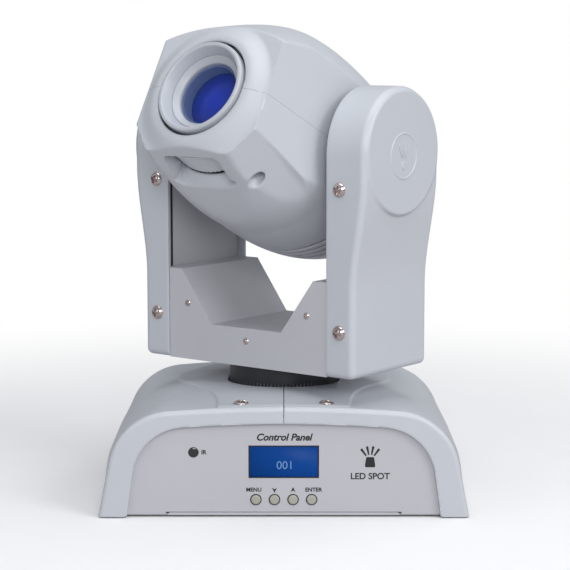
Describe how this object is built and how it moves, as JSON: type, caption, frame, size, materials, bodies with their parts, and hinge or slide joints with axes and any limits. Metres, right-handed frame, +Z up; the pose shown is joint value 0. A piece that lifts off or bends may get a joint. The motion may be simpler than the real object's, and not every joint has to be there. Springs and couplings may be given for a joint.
{
  "type": "moving head light",
  "caption": "Compact moving head spot light: an arched base with a display and buttons, a panning U-shaped yoke and a tilting ovoid head with a focusing lens.",
  "frame": {"origin": "under the middle of the base, on the plane of its feet, on the pan axis", "axes": "+Z up along the pan axis, -Y the way that the control panel faces, +X to the right of someone who faces the panel"},
  "size_m": [0.1808, 0.1491, 0.2379],
  "materials": {
    "white_plastic": "fine satin texture, cool white",
    "panel_paint": "smooth satin paint, white",
    "yoke_paint": "fine textured paint, white",
    "nickel": "bright nickel plate",
    "rubber": "matt black",
    "display": "lit blue liquid crystal window",
    "dark_window": "dark infrared window",
    "button": "grey satin",
    "circuit_board": "green solder mask",
    "steel": "plain",
    "bearing_steel": "ground",
    "motor_steel": "plain laminations",
    "aluminium": "bare satin",
    "black_plastic": "fine satin texture, black",
    "led": "white board with a yellow emitter",
    "clear_glass": "polished",
    "lens_glass": "polished, blue coating"
  },
  "bodies": {
    "base": {"base_plate": "panel_paint", "front_panel": "panel_paint", "rear_panel": "panel_paint", "base_cover_left": "white_plastic", "base_cover_right": "white_plastic", "rubber_feet": "rubber", "base_cover_screws": "nickel", "base_plate_screws": "nickel", "display_window": "display", "display_board": "circuit_board", "ir_receiver": "dark_window", "bearing_bridge": "steel", "pan_bearing": "bearing_steel", "pan_motor": "motor_steel", "pan_belt": "rubber", "power_supply": "circuit_board", "main_board": "circuit_board", "power_inlet": "black_plastic", "fuse_holder": "black_plastic", "dmx_in_socket": "black_plastic", "dmx_out_socket": "black_plastic"},
    "yoke": {"yoke_base": "yoke_paint", "arm_plate_left": "yoke_paint", "arm_plate_right": "yoke_paint", "yoke_front_plate": "yoke_paint", "yoke_rear_plate": "yoke_paint", "yoke_channel": "yoke_paint", "arm_cover_left": "white_plastic", "arm_cover_right": "white_plastic", "arm_cover_screws": "nickel", "yoke_plate_screws": "nickel", "pan_shaft": "black_plastic", "pan_collar": "black_plastic", "tilt_motor": "motor_steel", "tilt_belt": "rubber", "tilt_bearings": "bearing_steel"},
    "head": {"head_shell_upper": "white_plastic", "head_shell_lower": "white_plastic", "head_screws": "nickel", "head_chassis": "aluminium", "tilt_shafts": "steel", "tilt_pulley": "black_plastic", "led_module": "led", "heat_sink": "aluminium", "fan_frame": "black_plastic", "condenser_lens": "clear_glass", "condenser_holder": "black_plastic", "wheel_motors": "motor_steel"},
    "pan_drive": {"pan_motor_pulley": "aluminium"},
    "tilt_drive": {"tilt_motor_pulley": "aluminium"},
    "focus": {"focus_ring": "white_plastic"},
    "lens": {"lens_barrel": "white_plastic", "front_lens": "lens_glass"},
    "fan": {"fan_rotor": "black_plastic"},
    "gobo": {"gobo_wheel": "steel"},
    "color": {"color_wheel": "aluminium"},
    "button_menu": {"button_menu": "button"},
    "button_down": {"button_down": "button"},
    "button_up": {"button_up": "button"},
    "button_enter": {"button_enter": "button"}
  },
  "joints": [
    {"name": "pan", "type": "hinge", "parent": "base", "child": "yoke", "pos_m": [0, 0, 0.06], "axis": [0, 0, 1], "range_deg": [-232.6, 307.4]},
    {"name": "tilt", "type": "hinge", "parent": "yoke", "child": "head", "pos_m": [0, 0, 0.17], "axis": [0.7944, -0.6074, 0], "range_deg": [-176.1, 53.9]},
    {"name": "pan_motor_turn", "type": "hinge", "parent": "base", "child": "pan_drive", "pos_m": [0.036, -0.034, 0.0325], "axis": [0, 0, 1], "range_deg": [-839, 1109]},
    {"name": "tilt_motor_turn", "type": "hinge", "parent": "yoke", "child": "tilt_drive", "pos_m": [-0.04727, 0.03614, 0.085], "axis": [0.7944, -0.6074, 0], "range_deg": [-472, 146]},
    {"name": "focus_turn", "type": "hinge", "parent": "head", "child": "focus", "pos_m": [-0.03244, -0.04242, 0.19948], "axis": [-0.5317, -0.6955, 0.4833], "range_deg": [-60, 60]},
    {"name": "lens_slide", "type": "slide", "parent": "head", "child": "lens", "axis": [-0.5317, -0.6955, 0.4833], "range_m": [-0.003, 0.003]},
    {"name": "fan_turn", "type": "hinge", "parent": "head", "child": "fan", "pos_m": [0.02659, 0.03477, 0.14584], "axis": [-0.5317, -0.6955, 0.4833], "continuous": true},
    {"name": "gobo_turn", "type": "hinge", "parent": "head", "child": "gobo", "pos_m": [0.00209, 0.00274, 0.18866], "axis": [-0.5317, -0.6955, 0.4833], "continuous": true},
    {"name": "color_turn", "type": "hinge", "parent": "head", "child": "color", "pos_m": [-0.01007, -0.01317, 0.15859], "axis": [-0.5317, -0.6955, 0.4833], "continuous": true},
    {"name": "button_menu_press", "type": "slide", "parent": "base", "child": "button_menu", "axis": [0, 1, 0], "range_m": [0, 0.0008], "stiffness_N_per_m": 400, "springref_m": -0.0004},
    {"name": "button_down_press", "type": "slide", "parent": "base", "child": "button_down", "axis": [0, 1, 0], "range_m": [0, 0.0008], "stiffness_N_per_m": 400, "springref_m": -0.0004},
    {"name": "button_up_press", "type": "slide", "parent": "base", "child": "button_up", "axis": [0, 1, 0], "range_m": [0, 0.0008], "stiffness_N_per_m": 400, "springref_m": -0.0004},
    {"name": "button_enter_press", "type": "slide", "parent": "base", "child": "button_enter", "axis": [0, 1, 0], "range_m": [0, 0.0008], "stiffness_N_per_m": 400, "springref_m": -0.0004}
  ],
  "couplings": [
    {"joint": "pan_motor_turn", "follows": "pan", "ratio": 3.6},
    {"joint": "tilt_motor_turn", "follows": "tilt", "ratio": 2.6667},
    {"joint": "lens_slide", "follows": "focus_turn", "m_per_rad": 0.0028}
  ]
}
